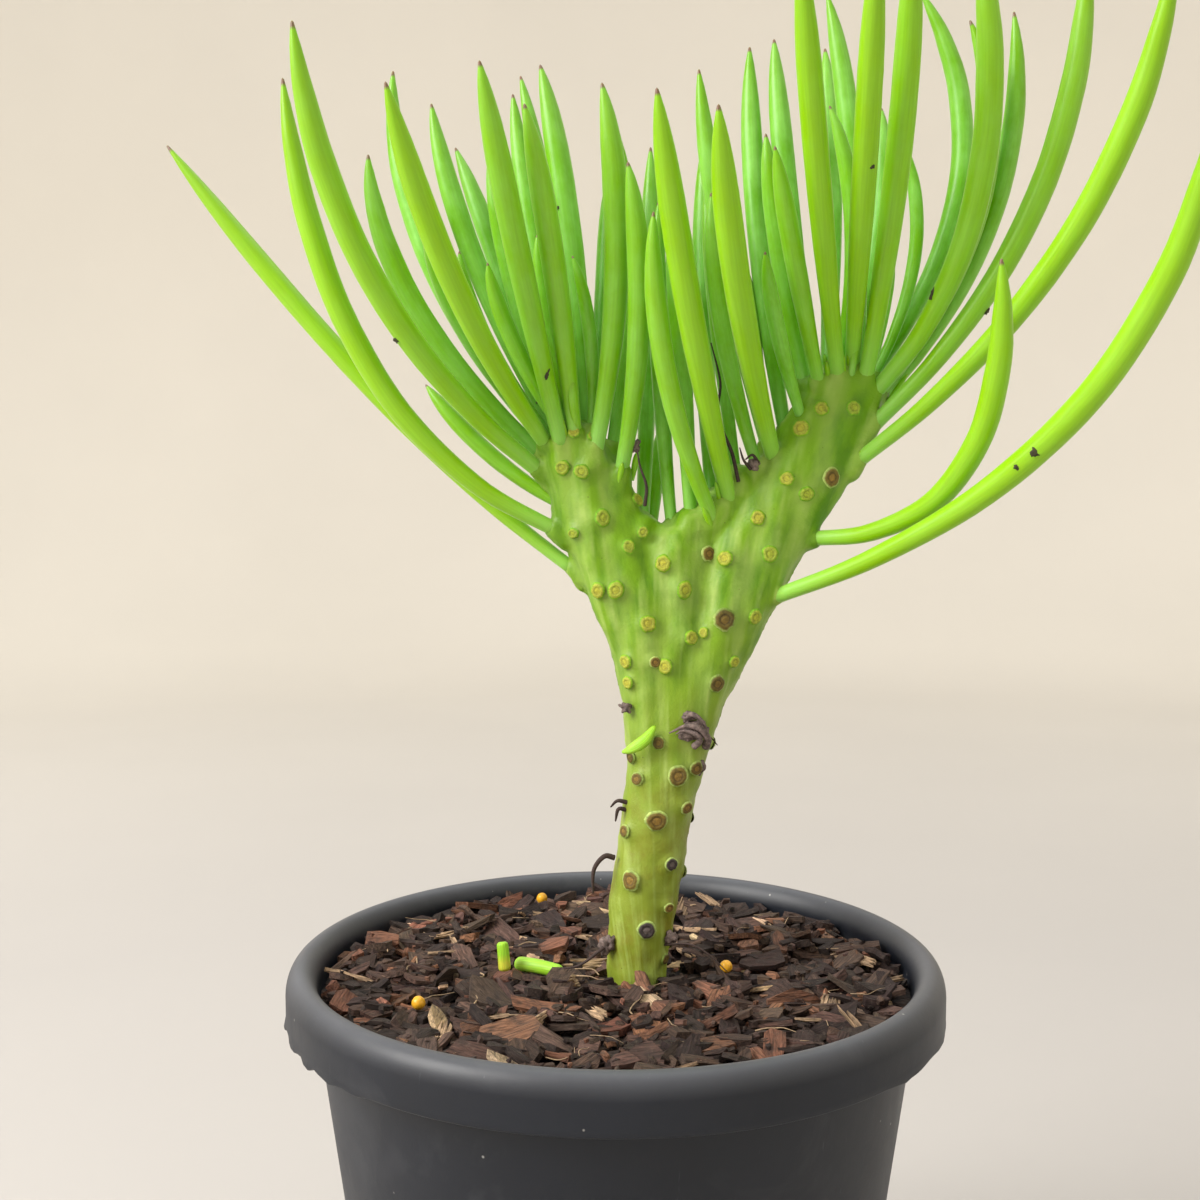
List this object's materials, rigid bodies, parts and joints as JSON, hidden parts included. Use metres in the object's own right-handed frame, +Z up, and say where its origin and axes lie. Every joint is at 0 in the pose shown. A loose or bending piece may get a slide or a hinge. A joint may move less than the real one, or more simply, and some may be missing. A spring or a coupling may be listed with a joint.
{
  "type": "potted chalk stick plant",
  "caption": "Crested blue chalk stick with a forked, flattened stem and long upswept finger leaves, in a tapered nursery pot with a rolled rim and bark mulch.",
  "frame": {"origin": "centre of the pot's flat underside, on the surface it stands on", "axes": "+Z up along the pot's axis; the flat side of the crest faces -Y and its taller lobe lies towards +X"},
  "size_m": [0.1944, 0.142, 0.3312],
  "materials": {
    "pot_plastic": "satin",
    "potting_mix": "matte",
    "bark": "matte",
    "stem_skin": "satin",
    "leaf_skin": "satin",
    "withered_skin": "matte",
    "leaf_fragment": "satin",
    "leaf_stub": "satin",
    "prill_coat": "gloss"
  },
  "bodies": {
    "root": {"pot": "pot_plastic", "potting_mix": "potting_mix", "bark_mulch": "bark", "stem": "stem_skin", "leaf_01": "leaf_skin", "leaf_02": "leaf_skin", "leaf_03": "leaf_skin", "leaf_04": "leaf_skin", "leaf_05": "leaf_skin", "leaf_06": "leaf_skin", "leaf_07": "leaf_skin", "leaf_08": "leaf_skin", "leaf_09": "leaf_skin", "leaf_10": "leaf_skin", "leaf_11": "leaf_skin", "leaf_12": "leaf_skin", "leaf_13": "leaf_skin", "leaf_14": "leaf_skin", "leaf_15": "leaf_skin", "leaf_16": "leaf_skin", "leaf_17": "leaf_skin", "leaf_18": "leaf_skin", "leaf_19": "leaf_skin", "leaf_20": "leaf_skin", "leaf_21": "leaf_skin", "leaf_22": "leaf_skin", "leaf_23": "leaf_skin", "leaf_24": "leaf_skin", "leaf_25": "leaf_skin", "leaf_26": "leaf_skin", "leaf_27": "leaf_skin", "leaf_28": "leaf_skin", "leaf_29": "leaf_skin", "leaf_30": "leaf_skin", "leaf_31": "leaf_skin", "leaf_32": "leaf_skin", "leaf_33": "leaf_skin", "leaf_34": "leaf_skin", "leaf_35": "leaf_skin", "leaf_36": "leaf_skin", "leaf_37": "leaf_skin", "leaf_38": "leaf_skin", "leaf_39": "leaf_skin", "leaf_40": "leaf_skin", "leaf_41": "leaf_skin", "leaf_42": "leaf_skin", "leaf_43": "leaf_skin", "leaf_44": "leaf_skin", "leaf_45": "leaf_skin", "leaf_46": "leaf_skin", "leaf_47": "leaf_skin", "leaf_48": "leaf_skin", "leaf_49": "leaf_skin", "leaf_50": "leaf_skin", "withered_scale": "withered_skin", "leaf_fragment_tube": "leaf_fragment", "leaf_fragment_stub": "leaf_stub", "fertiliser_prill_1": "prill_coat", "fertiliser_prill_2": "prill_coat", "fertiliser_prill_3": "prill_coat"}
  },
  "joints": []
}
